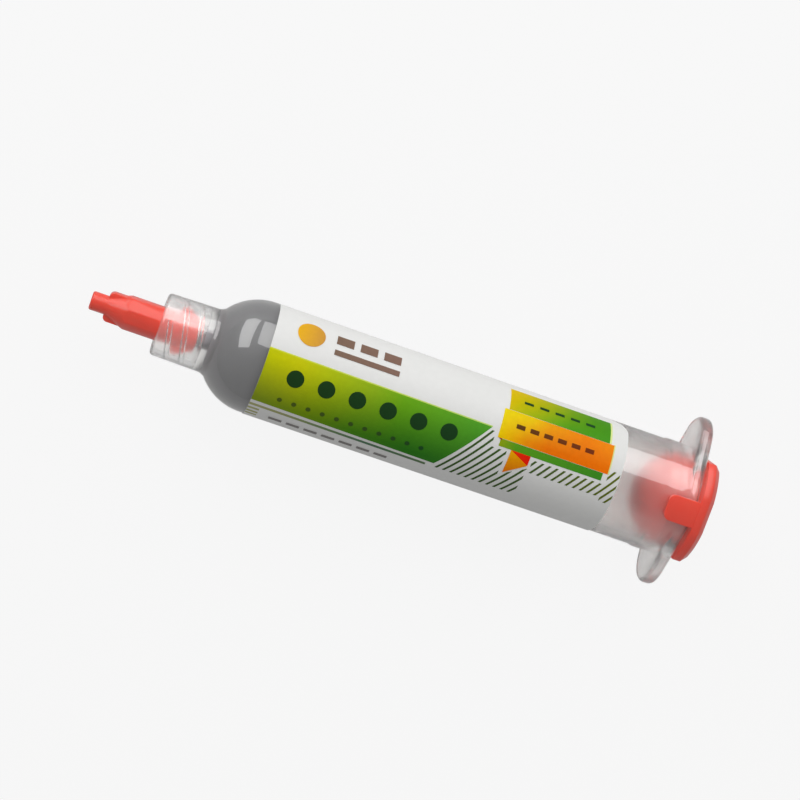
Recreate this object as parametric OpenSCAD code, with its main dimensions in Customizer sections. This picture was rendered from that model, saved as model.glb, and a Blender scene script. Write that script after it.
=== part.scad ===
// Paste syringe, lying on its side with the nozzle towards -X, the flange wings along Y and
// the printed face of the label up. Millimetres. Stations along the barrel are measured from
// the centre of its round shoulder; angles round it are measured from straight up towards -Y.

/* [Tube] */
// Outer diameter of the tube and of its round shoulder
tube_od = 18.6; // [17.8:0.1:19]
// Bore of the tube
tube_bore = 15.9; // [14:0.1:16.6]
// Length from the centre of the shoulder to the front of the flange
tube_len = 72.7; // [70:0.5:90]
// Diameter of the thicker ring in front of the flange
ring_od = 19.0; // [18.8:0.1:19.1]
// Length of the thicker ring
ring_len = 4.1; // [2:0.1:6]
// Chamfer where the bore opens at the rear
mouth_chamfer = 0.4; // [0.2:0.1:0.6]

/* [Flange] */
// Thickness of the flange
flange_t = 2.2; // [1.6:0.1:3]
// Distance over the two finger wings
wing_span = 29.5; // [26:0.5:34]
// Width of the flange across its short sides
flange_w = 19.2; // [19.2:0.1:20.2]
// Radius of the end of each wing
wing_r = 5.5; // [4:0.1:6.5]

/* [Nozzle and collar] */
// Diameter of the nozzle at its tip
nozzle_tip_d = 3.94; // [3.6:0.02:4.2]
// Growth of the nozzle diameter for each millimetre of length
nozzle_taper = 0.06; // [0.04:0.01:0.07]
// Bore of the nozzle
nozzle_bore = 2.1; // [1.2:0.1:2.6]
// Length of nozzle that stands out of the collar
nozzle_proud = 2.1; // [1:0.1:3]
// Outer diameter of the locking collar at its mouth
collar_d = 10.4; // [10:0.1:11.4]
// Growth of the collar diameter from its mouth to its root
collar_draft = 0.34; // [0:0.02:0.6]
// Bore of the collar
collar_bore = 8.2; // [8.1:0.05:8.8]
// Depth of the gap between collar and nozzle
collar_depth = 7.5; // [7:0.1:9]
// Rounding of the outer edge of the collar
collar_round = 0.6; // [0.2:0.1:0.8]
// Thickness of the web between the collar floor and the bore of the tube
web_t = 1.25; // [0.8:0.05:2]

/* [Tip cap] */
// Gap between the inner end of the cap and the collar floor
cap_gap = 0.9; // [0.4:0.1:1.4]
// Diameter of the hub inside the collar
hub_d = 5.5; // [5.3:0.1:6.4]
// Length of the hub inside the collar
hub_len = 5.5; // [4.6:0.1:6]
// Diameter over the two locking lugs
lug_d = 7.8; // [7.4:0.05:7.9]
// Width of a locking lug
lug_w = 3.4; // [2.4:0.1:4.4]
// Length of a locking lug along the cap
lug_len = 3.4; // [2.4:0.1:4]
// Diameter of the grip and of the ring at the collar mouth
grip_d = 5.7; // [5.6:0.05:6.6]
// Width of the grip across its flats
grip_flats = 5.35; // [5.2:0.05:5.5]
// Length of the grip
grip_len = 5.6; // [4:0.1:9]
// Thickness of the ring at the collar mouth
cap_ring_t = 0.8; // [0.5:0.1:1.2]
// Length of the cone in front of the grip
neck_len = 3.6; // [3:0.1:6]
// Distance over the two fins beside the cone
fin_span = 4.85; // [4.4:0.05:5.3]
// Thickness of a fin
fin_t = 1.7; // [1.2:0.1:2.4]
// Rounding of the front corner of a fin
fin_r = 0.8; // [0.3:0.1:1]
// Diameter of the stub at the front
stub_d = 3.1; // [2.6:0.1:3.6]
// Length of the stub
stub_len = 2.5; // [1.5:0.1:5]
// Rounding of the front edge of the stub
stub_round = 0.35; // [0.1:0.05:0.6]
// Angle by which the locked cap is turned
cap_turn = 8; // [0:1:20]
// Radial clearance of the cap on the nozzle
cap_clearance = 0.04; // [0.02:0.01:0.08]

/* [End cap] */
// Diameter of the cover plate
plate_d = 21.8; // [21.4:0.1:23]
// Width of the cover plate between its flats at the wings
plate_w = 17; // [15:0.1:19]
// Thickness of the cover plate
plate_t = 2.35; // [1.8:0.05:3.5]
// Chamfer of the rear edge of the cover plate
plate_chamfer = 1.0; // [0.4:0.1:1.4]
// Width of a snap leg
leg_w = 4.4; // [3:0.1:6]
// Thickness of a snap leg
leg_t = 0.75; // [0.6:0.05:1]
// Reach of a snap leg in front of the flange
leg_reach = 3.0; // [1.5:0.1:3.8]
// Rounding of the corners of a snap leg
leg_round = 1.2; // [0.5:0.1:1.4]
// Clearance between leg and flange
leg_clearance = 0.05; // [0.03:0.01:0.15]
// Height by which the flats of the plate stand proud of the legs
plate_lip = 0.15; // [0.05:0.05:0.5]
// Length of the straight part of the plug
plug_len = 3.6; // [2:0.1:6]
// Height of the domed nose of the plug
plug_dome = 4.8; // [2:0.1:6]
// Wall of the hollow plug
plug_wall = 1.2; // [0.9:0.1:2]
// Radial clearance of the plug in the bore
plug_clearance = 0.05; // [0.02:0.01:0.1]

/* [Piston and paste] */
// Station of the nose of the piston
piston_x = 30.3; // [12:0.1:40]
// Length of the nose of the piston
piston_nose = 6.5; // [3:0.1:9]
// Diameter of the flat on the nose of the piston
piston_tip_d = 4.0; // [2:0.1:8]
// Length of the skirt of the piston
piston_skirt = 10.5; // [8:0.1:14]
// Width of each wiping band of the piston
wiper_w = 1.6; // [1:0.1:3]
// Depth of the groove between the wiping bands
wiper_groove = 0.6; // [0.3:0.1:1]
// Wall of the hollow piston
piston_wall = 1.3; // [1:0.1:2]
// Radial clearance of the wiping bands in the bore
piston_clearance = 0.03; // [0.02:0.01:0.08]
// Gap between the paste and what holds it
paste_gap = 0.03; // [0.02:0.01:0.1]

/* [Label] */
// Station of the front edge of the label
label_x = 0.6; // [0.2:0.1:3]
// Length of the label along the tube
label_len = 60.5; // [60:0.5:64]
// Thickness of the label film
label_t = 0.1; // [0.06:0.01:0.2]
// Angle that the label wraps
label_wrap = 305; // [240:1:340]
// Angle of the edge of the label that shows, from straight up
label_edge = -87; // [-100:1:-84]
// Angle on either side of straight up that a field with a plan outline can reach
plan_reach = 80; // [60:1:84]
// Thickness of a printed field
ink_t = 0.02; // [0.01:0.01:0.04]
// Gap between the label and a printed field, and between the tube and the label
film_gap = 0.01; // [0.005:0.005:0.02]

/* [Band and rules] */
// Angle of the upper edge of the coloured band
band_top = -18.5; // [-24:0.5:-12]
// Angle of the lower edge of the coloured band
band_bottom = 39.5; // [30:0.5:41]
// Station of the end of the band at its upper edge
band_right_top = 37.8; // [34:0.1:39]
// Station of the end of the band at its lower edge
band_right_bottom = 31.5; // [28:0.1:34]
// Angle of the first rule below the band
rule_top = 42.2; // [42:0.1:44]
// Angle from one rule or stripe to the next
rule_pitch = 3.8; // [3:0.1:5]
// Angle that a rule or stripe covers
rule_w = 1.6; // [0.8:0.1:2]
// Station of the end of the rules
rule_end = 30.8; // [26:0.1:32]
// Number of short stripes under the rules
stripe_count = 5; // [3:1:7]
// Length of a short stripe
stripe_len = 2.1; // [1:0.1:4]

/* [Tags and strip] */
// Station of the front edge of the two coloured tags
tag_x = 39.8; // [39.2:0.1:42]
// Length of the tags
tag_len = 18.4; // [14:0.1:19]
// Angle of the upper edge of the upper tag
tag_top = -72; // [-76:0.5:-60]
// Angle of the edge between the tags
tag_split = -40.9; // [-46:0.1:-34]
// Angle of the lower edge of the lower tag
tag_bottom = -9.5; // [-12:0.1:-8]
// Angle of the fine line between two fields
tag_line = 0.3; // [0.2:0.1:0.6]
// Station of the front end of the strip below the tags
strip_x = 40.3; // [39.6:0.1:42]
// Length of the strip
strip_len = 17.8; // [14:0.1:18.4]
// Angle of the lower edge of the strip
strip_bottom = -1.6; // [-4:0.1:0]
// Station of the front edge of the ribbon end
ribbon_x = 42.5; // [41:0.1:45]
// Width of the ribbon end
ribbon_w = 3.4; // [2:0.1:5]
// Angle of the shorter side of the ribbon end
ribbon_side = 8.3; // [4:0.1:12]
// Angle of the point of the ribbon end
ribbon_tip = 23.2; // [14:0.1:30]

/* [Hatch and dots] */
// Distance between two slanting lines along the tube
hatch_pitch = 1.25; // [0.9:0.05:2]
// Width of a slanting line along the tube
hatch_w = 0.42; // [0.2:0.02:0.6]
// Number of slanting lines
hatch_count = 24; // [20:1:26]
// Angle between the strip and the slanting lines below it
hatch_gap = 2.8; // [1:0.1:5]
// Angle of the upper end of the slanting lines
hatch_top = -14; // [-16:0.5:-10]
// Angle of the lower end of the slanting lines
hatch_bottom = 45.5; // [42:0.5:50]
// Station where the slanting lines end at the rear
hatch_end = 60.6; // [59.4:0.1:61]
// Station where the slanting lines rise behind the tags
hatch_rise = 58.9; // [58.6:0.1:59.2]
// Station of the front edge of the plain field for a code
code_x = 45.9; // [44:0.1:48]
// Angle of the upper edge of the plain field for a code
code_top = 15; // [12:0.5:20]
// Diameter of a large dot
dot_d = 2.8; // [1.6:0.1:3.6]
// Number of large dots
dot_count = 6; // [4:1:6]
// Station of the first large dot
dot_x = 6; // [4:0.1:7]
// Distance between large dots
dot_pitch = 5.2; // [4:0.1:5.4]
// Angle of the row of large dots
dot_angle = 1.5; // [-4:0.5:6]
// Diameter of a small dot
small_dot_d = 0.8; // [0.5:0.1:1.2]
// Number of small dots
small_dot_count = 11; // [6:1:11]
// Station of the first small dot
small_dot_x = 4.8; // [3:0.1:6]
// Distance between small dots
small_dot_pitch = 2.4; // [1.6:0.1:2.4]
// Angle of the row of small dots
small_dot_angle = 27; // [22:0.5:32]

/* [Hidden] */
$fn = 96;

tube_r = tube_od / 2;
bore_r = tube_bore / 2;
flange_x = tube_len;
rear_x = tube_len + flange_t;
collar_floor = -bore_r - web_t;
collar_mouth = collar_floor - collar_depth;
nozzle_tip = collar_mouth - nozzle_proud;

cap_inner = collar_floor - cap_gap;
cap_ring_x = cap_inner - hub_len;
grip_x = cap_ring_x - cap_ring_t;
neck_x = grip_x - grip_len;
stub_x = neck_x - neck_len;
cap_front = stub_x - stub_len;

seat_gap = 0.02;
plate_x = rear_x + seat_gap;
cap_rear = plate_x + plate_t;
leg_inner = flange_w / 2 + leg_clearance;
leg_outer = leg_inner + leg_t;

label_in = tube_r + film_gap;
label_out = label_in + label_t;
ink_in = label_out + film_gap;
tag_in = ink_in + ink_t + film_gap;

// The box of the whole part is centred on the origin and its lowest face is the floor
mid_x = (cap_front + cap_rear) / 2;
plate_half = leg_outer + plate_lip;
axis_z = plate_half;

module placed() {
    translate([-mid_x, 0, axis_z])
        children();
}

// Turns a shape that is drawn along Z so that it runs along the barrel
module along_x() {
    rotate([0, 90, 0])
        children();
}

// A ring of revolution about the barrel from a profile drawn as [radius, station]
module turned() {
    along_x()
        rotate_extrude()
            children();
}

// Area between two stations, out to a radius
module band(x0, x1, r) {
    translate([0, x0])
        square([r, x1 - x0]);
}

// Area of a plug: straight from its end back to its shoulder, with a shallow dome in front
module plug_area(r, dome, end_x) {
    plug_x = plate_x - plug_len;
    dome_r = (r * r + dome * dome) / (2 * dome);
    union() {
        band(plug_x, end_x, r);
        intersection() {
            translate([0, plug_x + dome_r - dome])
                circle(r = dome_r, $fn = 128);
            band(plug_x - dome, plug_x + 0.001, r);
        }
    }
}

// Outline of the flange: a middle disc and two round wings joined by the lines that touch them
module flange_outline() {
    wing_y = wing_span / 2 - wing_r;
    a = acos((flange_w / 2 - wing_r) / wing_y);
    disc_point = flange_w / 2 * [sin(a), cos(a)];
    wing_point = [0, wing_y] + wing_r * [sin(a), cos(a)];
    corners = [disc_point, wing_point];
    union() {
        circle(d = flange_w);
        for (s = [-1, 1])
            translate([0, s * wing_y])
                circle(r = wing_r);
        polygon([for (q = [[1, 1, 0], [1, 1, 1], [-1, 1, 1], [-1, 1, 0],
            [-1, -1, 0], [-1, -1, 1], [1, -1, 1], [1, -1, 0]])
            [q[0] * corners[q[2]][0], q[1] * corners[q[2]][1]]]);
    }
}

module flange() {
    translate([flange_x, 0, 0])
        along_x()
            linear_extrude(flange_t)
                flange_outline();
}

module barrel() {
    color([0.86, 0.87, 0.86, 0.45])
        placed()
            difference() {
                union() {
                    along_x()
                        sphere(r = tube_r, $fn = 128);
                    turned()
                        band(0, rear_x, tube_r);
                    turned()
                        polygon([[0, tube_len - ring_len], [tube_r, tube_len - ring_len],
                            [ring_od / 2, tube_len - ring_len + (ring_od / 2 - tube_r) * 2],
                            [ring_od / 2, flange_x + 0.5], [0, flange_x + 0.5]]);
                    flange();
                    collar();
                }
                along_x()
                    sphere(r = bore_r, $fn = 128);
                turned()
                    band(0, rear_x + 1, bore_r);
                turned()
                    polygon([[0, rear_x - mouth_chamfer - bore_r],
                        [bore_r + mouth_chamfer + 1, rear_x + 1], [0, rear_x + 1]]);
                turned()
                    band(nozzle_tip - 1, 0, nozzle_bore / 2);
            }
}

// The locking collar with the tapered nozzle inside it
module collar() {
    mouth_r = collar_d / 2;
    root_r = mouth_r + collar_draft / 2;
    root_x = -sqrt(pow((tube_r + bore_r) / 2, 2) - root_r * root_r);
    lead_in = 0.3;
    difference() {
        turned()
            union() {
                polygon([[0, collar_mouth], [mouth_r - collar_round, collar_mouth],
                    [mouth_r, collar_mouth + collar_round], [root_r, root_x], [0, root_x]]);
                translate([mouth_r - collar_round, collar_mouth + collar_round])
                    circle(r = collar_round, $fn = 32);
            }
        turned()
            band(collar_mouth - 1, collar_floor, collar_bore / 2);
        turned()
            polygon([[0, collar_mouth - 1], [collar_bore / 2 + lead_in + 1, collar_mouth - 1],
                [collar_bore / 2, collar_mouth + lead_in], [0, collar_mouth + lead_in]]);
    }
    turned()
        polygon([[0, nozzle_tip], [nozzle_r(nozzle_tip), nozzle_tip],
            [nozzle_r(collar_floor + web_t / 2), collar_floor + web_t / 2],
            [0, collar_floor + web_t / 2]]);
}

// Outer radius of the nozzle at a station
function nozzle_r(x) = (nozzle_tip_d + nozzle_taper * (x - nozzle_tip)) / 2;

module tip_cap() {
    color([0.9, 0.24, 0.17])
        placed()
            rotate([cap_turn, 0, 0])
                difference() {
                    union() {
                        turned()
                            band(cap_ring_x, cap_inner, hub_d / 2);
                        turned()
                            band(grip_x, cap_ring_x + 0.01, grip_d / 2);
                        grip();
                        turned()
                            cap_stub();
                        fins();
                        lugs();
                    }
                    cap_socket();
                }
}

// The grip: eight flats on a round body that runs out into a cone
module grip() {
    intersection() {
        turned()
            polygon([[0, stub_x], [stub_d / 2, stub_x], [grip_d / 2, neck_x],
                [grip_d / 2, grip_x], [0, grip_x]]);
        translate([stub_x, 0, 0])
            along_x()
                rotate([0, 0, 22.5])
                    cylinder(h = grip_x - stub_x, r = grip_flats / 2 / cos(22.5), $fn = 8);
    }
}

module cap_stub() {
    union() {
        band(cap_front + stub_round, stub_x + 0.5, stub_d / 2);
        band(cap_front, stub_x, stub_d / 2 - stub_round);
        translate([stub_d / 2 - stub_round, cap_front + stub_round])
            circle(r = stub_round, $fn = 32);
    }
}

// Two fins beside the cone, with rounded front corners
module fins() {
    fin_x = stub_x + 0.1;
    half = fin_span / 2;
    for (s = [0, 1])
        mirror([0, s, 0])
            translate([0, 0, -fin_t / 2])
                linear_extrude(fin_t)
                    union() {
                        translate([fin_x + fin_r, 0])
                            square([neck_x - fin_x - fin_r + 0.8, half]);
                        translate([fin_x, 0])
                            square([fin_r, half - fin_r]);
                        translate([fin_x + fin_r, half - fin_r])
                            circle(r = fin_r, $fn = 32);
                    }
}

// Two locking lugs at the inner end of the hub, sloping on their inner side
module lugs() {
    lug_x = cap_inner - 0.3 - lug_len;
    intersection() {
        turned()
            polygon([[0, lug_x], [hub_d / 2, lug_x], [lug_d / 2, lug_x + 0.35],
                [lug_d / 2, lug_x + 1.1], [hub_d / 2, lug_x + lug_len], [0, lug_x + lug_len]]);
        translate([lug_x, -lug_d / 2, -lug_w / 2])
            cube([lug_len, lug_d, lug_w]);
    }
}

// The tapered socket that fits over the nozzle
module cap_socket() {
    floor_x = nozzle_tip - 0.2;
    open_x = cap_inner + 1;
    turned()
        polygon([[0, floor_x], [nozzle_r(floor_x) + cap_clearance, floor_x],
            [nozzle_r(open_x) + cap_clearance, open_x], [0, open_x]]);
}

module end_cap() {
    plug_r = bore_r - plug_clearance;
    color([0.9, 0.24, 0.17])
        placed()
            difference() {
                union() {
                    cover_plate();
                    turned()
                        plug_area(plug_r, plug_dome, plate_x + 0.5);
                    for (s = [0, 1])
                        mirror([0, 0, s])
                            snap_leg();
                }
                turned()
                    plug_area(plug_r - plug_wall, plug_dome - plug_wall, cap_rear + 1);
            }
}

// Round plate, flat at the wings and at the legs, with a chamfered rear edge
module cover_plate() {
    c = plate_chamfer;
    intersection() {
        turned()
            polygon([[0, plate_x], [plate_d / 2, plate_x], [plate_d / 2, cap_rear - c],
                [plate_d / 2 - c, cap_rear], [0, cap_rear]]);
        plate_wedge(plate_w / 2, c);
        rotate([90, 0, 0])
            plate_wedge(plate_half, c);
    }
}

// Endless plate between two flats at plus and minus half, chamfered at the rear
module plate_wedge(half, c) {
    translate([0, 0, -plate_d])
        linear_extrude(2 * plate_d)
            polygon([[plate_x, -half], [cap_rear - c, -half], [cap_rear, -half + c],
                [cap_rear, half - c], [cap_rear - c, half], [plate_x, half]]);
}

// One snap leg: a tongue with rounded corners that lies over the short side of the flange
module snap_leg() {
    front = flange_x - leg_reach;
    translate([0, 0, leg_inner])
        linear_extrude(leg_t)
            union() {
                translate([front + leg_round, -leg_w / 2])
                    square([plate_x - front - leg_round + 0.5, leg_w]);
                translate([front, leg_round - leg_w / 2])
                    square([leg_round, leg_w - 2 * leg_round]);
                for (y = [leg_round - leg_w / 2, leg_w / 2 - leg_round])
                    translate([front + leg_round, y])
                        circle(r = leg_round, $fn = 32);
            }
}

// Outer form of the piston, grown by a gap where the paste meets it
module piston_nose_area(gap) {
    shoulder = piston_x + piston_nose;
    face_r = bore_r - piston_clearance;
    polygon([[0, piston_x - gap], [piston_tip_d / 2 + gap / 2, piston_x - gap],
        [face_r, shoulder - gap], [face_r, shoulder], [0, shoulder]]);
}

module piston() {
    shoulder = piston_x + piston_nose;
    tail = shoulder + piston_skirt;
    face_r = bore_r - piston_clearance;
    color([0.93, 0.93, 0.9])
        placed()
            difference() {
                union() {
                    turned()
                        piston_nose_area(0);
                    turned()
                        band(shoulder, tail, face_r - wiper_groove);
                    turned()
                        band(shoulder, shoulder + wiper_w, face_r);
                    turned()
                        band(tail - wiper_w, tail, face_r);
                }
                turned()
                    band(shoulder, tail + 1, face_r - wiper_groove - piston_wall);
                turned()
                    polygon([[0, piston_x + 2 * piston_wall], [piston_tip_d / 2, piston_x + 2 * piston_wall],
                        [face_r - wiper_groove - piston_wall, shoulder], [0, shoulder]]);
            }
}

module paste() {
    fill_r = bore_r - paste_gap;
    color([0.43, 0.43, 0.44])
        placed()
            difference() {
                union() {
                    along_x()
                        sphere(r = fill_r, $fn = 128);
                    turned()
                        band(0, piston_x + piston_nose - paste_gap, fill_r);
                    turned()
                        band(nozzle_tip + 0.1, 0, nozzle_bore / 2 - paste_gap);
                }
                turned()
                    piston_nose_area(paste_gap);
            }
}

// A field wrapped on the tube between two stations and two angles
module wrapped(x0, x1, a0, a1, r, t) {
    along_x()
        rotate([0, 0, 180 + a0])
            rotate_extrude(angle = a1 - a0)
                translate([r, x0])
                    square([t, x1 - x0]);
}

// A field on the upper half of the tube, cut to a plan outline seen from above
module plan_field(r, t) {
    intersection() {
        wrapped(label_x, label_x + label_len, -plan_reach, plan_reach, r, t);
        linear_extrude(2 * tube_r)
            children();
    }
}

// Plan distance from the axis of a point of the label at an angle
function plan_y(a) = -ink_in * sin(a);

module label() {
    color([0.94, 0.94, 0.93])
        placed()
            wrapped(label_x, label_x + label_len, label_edge, label_edge + label_wrap, label_in, label_t);
}

module print_band() {
    color([0.45, 0.62, 0.1])
        placed()
            plan_field(ink_in, ink_t)
                polygon([[label_x, plan_y(band_top)], [band_right_top, plan_y(band_top)],
                    [band_right_bottom, plan_y(band_bottom)], [label_x, plan_y(band_bottom)]]);
}

// Two long rules below the band and the short stripes under them
module print_rules() {
    color([0.47, 0.55, 0.2])
        placed() {
            for (i = [0, 1]) {
                a = rule_top + i * rule_pitch;
                wrapped(label_x, rule_end, a, a + rule_w, ink_in, ink_t);
            }
            for (i = [1 : stripe_count]) {
                a = rule_top + (i + 1) * rule_pitch;
                wrapped(label_x, label_x + stripe_len, a, a + rule_w, ink_in, ink_t);
            }
        }
}

// Station of the slanting end of the band at a plan distance
function slant_x(y) = band_right_bottom + (y - plan_y(band_bottom))
    * (band_right_top - band_right_bottom) / (plan_y(band_top) - plan_y(band_bottom));

// Slanting lines beside the band and above the plain field for a code
module print_hatch() {
    color([0.2, 0.33, 0.12])
        placed()
            plan_field(ink_in, ink_t)
                intersection() {
                    hatch_lines();
                    hatch_region();
                }
}

module hatch_lines() {
    for (i = [1 : hatch_count]) {
        x_low = slant_x(-tube_r) + i * hatch_pitch;
        x_high = slant_x(tube_r) + i * hatch_pitch;
        polygon([[x_low, -tube_r], [x_low + hatch_w, -tube_r], [x_high + hatch_w, tube_r],
            [x_high, tube_r]]);
    }
}

// Area that the slanting lines fill
module hatch_region() {
    top = plan_y(hatch_top);
    bottom = plan_y(hatch_bottom);
    code_edge = plan_y(code_top);
    lip = plan_y(strip_bottom + hatch_gap);
    polygon([[slant_x(bottom), bottom], [code_x, bottom], [code_x, code_edge],
        [hatch_end, code_edge], [hatch_end, top], [hatch_rise, top], [hatch_rise, lip],
        [strip_x, lip], [strip_x - hatch_pitch, top], [slant_x(top), top]]);
}

module print_strip() {
    color([0.1, 0.5, 0.12])
        placed()
            wrapped(strip_x, strip_x + strip_len, tag_bottom + tag_line, strip_bottom, ink_in, ink_t);
}

module print_upper_tag() {
    color([0.5, 0.7, 0.1])
        placed()
            wrapped(tag_x, tag_x + tag_len, tag_top, tag_split, ink_in, ink_t);
}

module print_lower_tag() {
    color([0.9, 0.55, 0])
        placed()
            wrapped(tag_x, tag_x + tag_len, tag_split + tag_line, tag_bottom, ink_in, ink_t);
}

// Folded ribbon end below the strip
module print_ribbon() {
    color([0.85, 0.45, 0.05])
        placed()
            plan_field(tag_in, ink_t)
                polygon([[ribbon_x, plan_y(strip_bottom)], [ribbon_x + ribbon_w, plan_y(strip_bottom)],
                    [ribbon_x + ribbon_w, plan_y(ribbon_side)], [ribbon_x, plan_y(ribbon_tip)]]);
}

// Two rows of round dots on the band, large ones above small ones
module print_marks() {
    color([0.08, 0.2, 0.08])
        placed()
            plan_field(tag_in, ink_t) {
                for (i = [0 : dot_count - 1])
                    translate([dot_x + dot_pitch * i, plan_y(dot_angle)])
                        circle(d = dot_d, $fn = 48);
                for (i = [0 : small_dot_count - 1])
                    translate([small_dot_x + small_dot_pitch * i, plan_y(small_dot_angle)])
                        circle(d = small_dot_d, $fn = 24);
            }
}

barrel();
tip_cap();
end_cap();
piston();
paste();
label();
print_band();
print_rules();
print_hatch();
print_strip();
print_upper_tag();
print_lower_tag();
print_ribbon();
print_marks();
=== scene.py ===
import math

import bpy
from mathutils import Matrix, Vector


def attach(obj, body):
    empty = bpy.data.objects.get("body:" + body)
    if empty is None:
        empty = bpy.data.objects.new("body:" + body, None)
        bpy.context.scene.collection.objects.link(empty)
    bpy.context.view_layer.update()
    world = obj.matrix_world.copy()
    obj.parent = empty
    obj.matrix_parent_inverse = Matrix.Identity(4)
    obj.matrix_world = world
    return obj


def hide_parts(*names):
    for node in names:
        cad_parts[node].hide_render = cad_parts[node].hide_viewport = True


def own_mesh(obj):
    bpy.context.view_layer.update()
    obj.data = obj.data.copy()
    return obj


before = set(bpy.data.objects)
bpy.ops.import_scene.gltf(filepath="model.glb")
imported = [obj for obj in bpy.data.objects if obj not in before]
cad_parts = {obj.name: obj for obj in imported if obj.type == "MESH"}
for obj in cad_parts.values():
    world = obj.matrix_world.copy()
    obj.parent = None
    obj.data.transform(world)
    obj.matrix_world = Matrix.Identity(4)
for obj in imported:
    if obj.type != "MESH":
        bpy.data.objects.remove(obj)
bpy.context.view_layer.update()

# Camera, lamps and table
# The syringe lies on a pale table under soft light. The camera looks down on the label from
# in front of the tube, and two tall soft boxes stand beyond it, to the left and in the middle.
MM = 0.001
AXIS_Z = 10.55 * MM
SHOULDER_TO_MIDDLE = 24.585
TILT, TURN, ROLL = math.radians(6.7), math.radians(9), math.radians(19)
CAMERA_LENS, CAMERA_SENSOR, CAMERA_CLIP = 88.07, 36, 0.01
CAMERA_DISTANCE, AIM_X, AIM_SHIFT = 320 * MM, -0.285 * MM, 0.93 * MM
LAMP_DISTANCE = 0.5


def at(station):
    """Where a station of the barrel, in mm from the centre of its shoulder, lies along X."""
    return (station - SHOULDER_TO_MIDDLE) * MM


def posed(place, side, top, facing):
    """A matrix that sets a camera or a lamp at a place, with its axes along three directions."""
    return Matrix.Translation(place) @ Matrix((side, top, facing)).transposed().to_4x4()


# The camera's directions: along the tube, across it and back to the camera. It tilts round the
# tube, turns towards the nozzle, and rolls its picture, so that the tube runs down to the right.
out = Vector((0, math.sin(TILT), math.cos(TILT)))
along = Vector((math.cos(TURN), 0, 0)) + out * math.sin(TURN)
back = Vector((-math.sin(TURN), 0, 0)) + out * math.cos(TURN)
across = Vector((0, math.cos(TILT), -math.sin(TILT)))
right = along * math.cos(ROLL) + across * math.sin(ROLL)
up = across * math.cos(ROLL) - along * math.sin(ROLL)
middle = Vector((AIM_X, 0, AXIS_Z))

bpy.ops.object.select_all(action="DESELECT")
bpy.ops.object.camera_add()
camera = bpy.context.object
camera.name = "camera"
camera.data.lens = CAMERA_LENS
camera.data.sensor_width = CAMERA_SENSOR
camera.data.clip_start = CAMERA_CLIP
eye = middle + across * AIM_SHIFT + back * CAMERA_DISTANCE
camera.matrix_world = posed(eye, right, up, back)
bpy.context.scene.camera = camera


def soft_box(name, towards, lean, width, height, power):
    """A lamp in a direction given as shares along, across and back, with its top leaning."""
    bpy.ops.object.select_all(action="DESELECT")
    bpy.ops.object.light_add(type="AREA")
    lamp = bpy.context.object
    lamp.name = name
    lamp.data.shape = "RECTANGLE"
    lamp.data.size = width
    lamp.data.size_y = height
    lamp.data.energy = power
    facing = (along * towards[0] + across * towards[1] + back * towards[2]).normalized()
    side = (along * lean + across - back).cross(facing).normalized()
    lamp.matrix_world = posed(middle + facing * LAMP_DISTANCE, side, facing.cross(side), facing)


soft_box("soft_box_left", (-0.52, 0.62, 0.59), lean=0.16, width=0.21, height=0.60, power=0.9)
soft_box("soft_box_middle", (0.19, 0.76, 0.61), lean=-0.02, width=0.36, height=0.50, power=1.1)


def linear(code):
    """An sRGB hex code as linear red, green, blue and alpha."""
    parts = [int(code[i:i + 2], 16) / 255 for i in (0, 2, 4)]
    return [p / 12.92 if p <= 0.04045 else ((p + 0.055) / 1.055) ** 2.4 for p in parts] + [1.0]


def add_node(tree, kind, values=None, links=None, **settings):
    """Adds a node with its settings, its socket values and its links."""
    made = tree.nodes.new(kind)
    for key, value in settings.items():
        setattr(made, key, value)
    for socket, value in (values or {}).items():
        made.inputs[socket].default_value = value
    for socket, source in (links or {}).items():
        tree.links.new(source, made.inputs[socket])
    return made


def new_finish(name):
    """An empty material and its node tree."""
    finish = bpy.data.materials.new(name)
    finish.use_nodes = True
    finish.node_tree.nodes.clear()
    return finish, finish.node_tree


def plain_share(tree, mirrored_share, fade=None):
    """How plainly a ray shows a backdrop: fully to the camera, also through clear plastic, but
    by the fade where there is one, and only by a share where it is mirrored."""
    rays = add_node(tree, "ShaderNodeLightPath")
    seen = add_node(tree, "ShaderNodeMath", operation="MAXIMUM",
                    links={0: rays.outputs["Is Camera Ray"],
                           1: rays.outputs["Is Transmission Ray"]})
    if fade:
        seen = add_node(tree, "ShaderNodeMath", operation="MULTIPLY",
                        links={0: seen.outputs[0], 1: fade.outputs[0]})
    mirrored = add_node(tree, "ShaderNodeMath", operation="MULTIPLY", values={1: mirrored_share},
                        links={0: rays.outputs["Is Glossy Ray"]})
    return add_node(tree, "ShaderNodeMath", operation="MAXIMUM",
                    links={0: seen.outputs[0], 1: mirrored.outputs[0]})


# Studio wall: pale all round, and faded out between two heights of a ray, where 1 is overhead.
# A reflection shows it dimmer, and the fill is the soft light that it gives everything else.
WALL_TOP, WALL_END, WALL_MIRRORED, WALL_FILL = 0.5, 0.85, 0.46, 0.41
sky = bpy.data.worlds.new("studio")
sky.use_nodes = True
sky.node_tree.nodes.clear()
place = add_node(sky.node_tree, "ShaderNodeTexCoord")
height = add_node(sky.node_tree, "ShaderNodeSeparateXYZ", links={0: place.outputs["Generated"]})
wall = add_node(sky.node_tree, "ShaderNodeMapRange", links={"Value": height.outputs["Z"]}, values={
    "From Min": WALL_TOP, "From Max": WALL_END, "To Min": 1.0, "To Max": 0.0})
share = plain_share(sky.node_tree, WALL_MIRRORED, wall)
level = add_node(sky.node_tree, "ShaderNodeMath", operation="MAXIMUM", values={1: WALL_FILL},
                 links={0: share.outputs[0]})
glow = add_node(sky.node_tree, "ShaderNodeBackground", values={"Color": linear("F5F5F5")},
                links={"Strength": level.outputs[0]})
add_node(sky.node_tree, "ShaderNodeOutputWorld", links={"Surface": glow.outputs[0]})
bpy.context.scene.world = sky
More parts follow.
